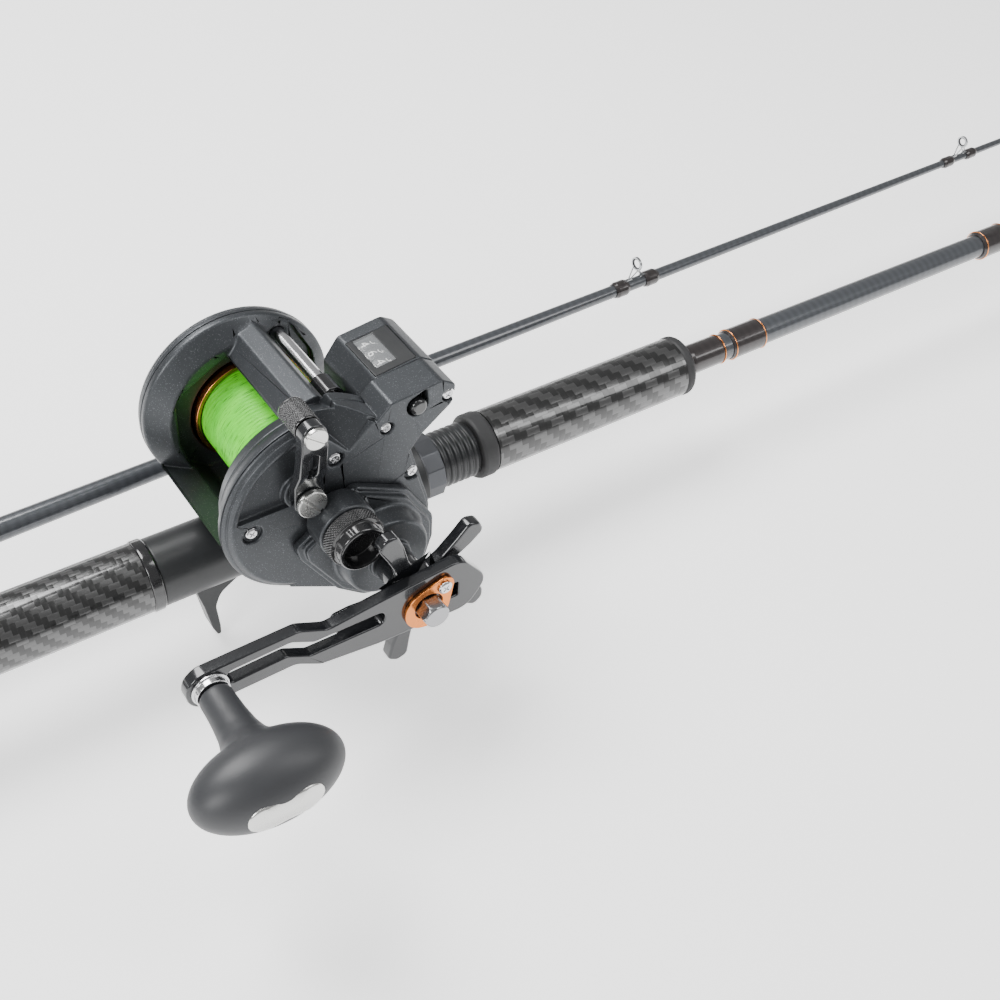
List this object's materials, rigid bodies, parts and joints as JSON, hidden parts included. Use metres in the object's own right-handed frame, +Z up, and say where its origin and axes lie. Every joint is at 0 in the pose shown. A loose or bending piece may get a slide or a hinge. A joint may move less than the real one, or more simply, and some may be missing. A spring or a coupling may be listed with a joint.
{
  "type": "baitcasting rod and reel",
  "caption": "Two-piece fishing rod with a line-counter multiplier reel on its trigger seat, the tip section lying beside the butt section.",
  "frame": {"origin": "centre of the rear grip's butt end, on the butt section's axis", "axes": "+X along the butt section towards the tip, +Y to the palm side of the reel, away from the crank, +Z up through the reel"},
  "size_m": [1.0201, 0.2203, 0.1393],
  "materials": {
    "grip_sleeve": "dark woven sleeve under a thin clear coat",
    "grip_core": "foam core inside the grips",
    "black_rubber": "soft black rubber",
    "gloss_black": "glossy black moulding",
    "seat_black": "satin black moulding",
    "nut_grey": "dark grey anodised ring",
    "blank_grey": "dark grey lacquered graphite",
    "wrap_dark": "thread sealed in clear resin",
    "guide_wire": "bent steel wire",
    "guide_ceramic": "polished dark ceramic",
    "reel_graphite": "satin dark grey graphite resin with a fine sparkle",
    "foot_metal": "dark grey coated metal",
    "bezel_black": "black moulding",
    "window": "clear window",
    "wheel_black": "black wheel with light digits",
    "bright_steel": "bright steel",
    "screw_black": "blackened screws",
    "spool_dark": "dark anodised aluminium",
    "copper_rim": "copper coloured anodised edge",
    "line_green": "bright green nylon line",
    "brass": "cut brass",
    "drag_fibre": "grey friction fibre",
    "star_black": "satin black coated metal",
    "retainer_orange": "copper orange anodised plate",
    "knob_grey": "soft dark grey knob"
  },
  "bodies": {
    "rod_butt": {"butt_cap": "black_rubber", "rear_grip": "grip_sleeve", "grip_cores": "grip_core", "rear_ring": "gloss_black", "reel_seat": "seat_black", "fore_grip": "grip_sleeve", "fore_grip_rings": "gloss_black", "winding_check": "gloss_black", "butt_blank": "blank_grey", "butt_wraps": "wrap_dark", "butt_guide_frame": "guide_wire", "butt_guide_ring": "guide_ceramic", "reel_foot": "foot_metal", "reel_frame": "reel_graphite", "palm_cover": "reel_graphite", "handle_side_plate": "reel_graphite", "gear_cover": "reel_graphite", "counter_housing": "reel_graphite", "counter_bezel": "bezel_black", "counter_lens": "window", "counter_shaft": "bright_steel", "cover_screws": "screw_black", "spool_bearings": "bright_steel", "lever_screw": "bright_steel", "guide_tube": "bright_steel"},
    "hood": {"front_hood": "seat_black"},
    "nut": {"hood_nut": "nut_grey"},
    "tip_section": {"tip_blank": "blank_grey", "tip_wraps": "wrap_dark", "tip_guide_frames": "guide_wire", "tip_guide_rings": "guide_ceramic", "tip_top": "guide_wire", "tip_top_ring": "guide_ceramic"},
    "crank": {"drive_shaft": "bright_steel", "main_gear": "brass", "drag_washers": "drag_fibre", "crank_arm": "star_black", "crank_nut": "bright_steel", "nut_retainer": "retainer_orange", "retainer_screw": "bright_steel", "knob_post": "bright_steel"},
    "star": {"star_drag": "star_black"},
    "knob": {"crank_knob": "knob_grey", "knob_cap": "bright_steel", "knob_bushings": "bright_steel"},
    "spool_body": {"spool": "spool_dark", "spool_rims": "copper_rim", "line_pack": "line_green", "spool_shaft": "bright_steel", "pinion": "brass"},
    "idler": {"idler_gear": "brass"},
    "worm": {"worm_shaft": "bright_steel"},
    "cast_cap": {"cast_control_cap": "gloss_black"},
    "lever": {"clutch_lever": "gloss_black", "lever_knob": "gloss_black"},
    "carriage": {"line_guide": "gloss_black"},
    "wheel_hundreds": {"hundreds_wheel": "wheel_black"},
    "wheel_tens": {"tens_wheel": "wheel_black"},
    "wheel_ones": {"ones_wheel": "wheel_black"},
    "button": {"reset_button": "gloss_black"}
  },
  "joints": [
    {"name": "hood_slide", "type": "slide", "parent": "rod_butt", "child": "hood", "axis": [1, 0, 0], "range_m": [0, 0.008]},
    {"name": "nut_turn", "type": "hinge", "parent": "hood", "child": "nut", "pos_m": [0.379, 0, 0], "axis": [1, 0, 0], "range_deg": [0, 960]},
    {"name": "tip_slide", "type": "slide", "parent": "rod_butt", "child": "tip_section", "axis": [0.9995, 0.0304, 0], "range_m": [-0.06, 0.06]},
    {"name": "crank_turn", "type": "hinge", "parent": "rod_butt", "child": "crank", "pos_m": [0.332, -0.08, 0.02], "axis": [0, 1, 0], "continuous": true},
    {"name": "star_turn", "type": "hinge", "parent": "crank", "child": "star", "pos_m": [0.332, -0.0727, 0.02], "axis": [0, 1, 0], "range_deg": [-180, 180]},
    {"name": "knob_spin", "type": "hinge", "parent": "crank", "child": "knob", "pos_m": [0.247, -0.1255, 0.026], "axis": [0, 1, 0], "continuous": true},
    {"name": "spool_spin", "type": "hinge", "parent": "rod_butt", "child": "spool_body", "pos_m": [0.316, 0.003, 0.041], "axis": [0, 1, 0], "continuous": true},
    {"name": "idler_spin", "type": "hinge", "parent": "rod_butt", "child": "idler", "pos_m": [0.33134, -0.037, 0.05278], "axis": [0, 1, 0], "continuous": true},
    {"name": "worm_spin", "type": "hinge", "parent": "rod_butt", "child": "worm", "pos_m": [0.331, 0, 0.06981], "axis": [0, 1, 0], "continuous": true},
    {"name": "carriage_slide", "type": "slide", "parent": "rod_butt", "child": "carriage", "axis": [0, 1, 0], "range_m": [-0.003, 0.029]},
    {"name": "cast_cap_turn", "type": "hinge", "parent": "rod_butt", "child": "cast_cap", "pos_m": [0.316, -0.06, 0.041], "axis": [0, 1, 0], "range_deg": [-180, 180]},
    {"name": "lever_swing", "type": "hinge", "parent": "rod_butt", "child": "lever", "pos_m": [0.305, -0.045, 0.055], "axis": [0, -1, 0], "range_deg": [0, 60]},
    {"name": "ones_spin", "type": "hinge", "parent": "rod_butt", "child": "wheel_ones", "pos_m": [0.352, -0.0176, 0.072], "axis": [0, 1, 0], "continuous": true},
    {"name": "tens_spin", "type": "hinge", "parent": "rod_butt", "child": "wheel_tens", "pos_m": [0.352, -0.0116, 0.072], "axis": [0, 1, 0], "continuous": true},
    {"name": "hundreds_spin", "type": "hinge", "parent": "rod_butt", "child": "wheel_hundreds", "pos_m": [0.352, -0.0056, 0.072], "axis": [0, 1, 0], "continuous": true},
    {"name": "button_press", "type": "slide", "parent": "rod_butt", "child": "button", "axis": [0, 1, 0], "range_m": [0, 0.0025], "stiffness_N_per_m": 200, "springref_m": -0.001}
  ],
  "couplings": [
    {"joint": "nut_turn", "follows": "hood_slide", "rad_per_m": 2094.4},
    {"joint": "spool_spin", "follows": "crank_turn", "ratio": -4.1667},
    {"joint": "idler_spin", "follows": "crank_turn", "ratio": -1.8519},
    {"joint": "worm_spin", "follows": "crank_turn", "ratio": 3.8462},
    {"joint": "ones_spin", "follows": "crank_turn", "ratio": 0.16},
    {"joint": "tens_spin", "follows": "crank_turn", "ratio": 0.016},
    {"joint": "hundreds_spin", "follows": "crank_turn", "ratio": 0.0016}
  ]
}
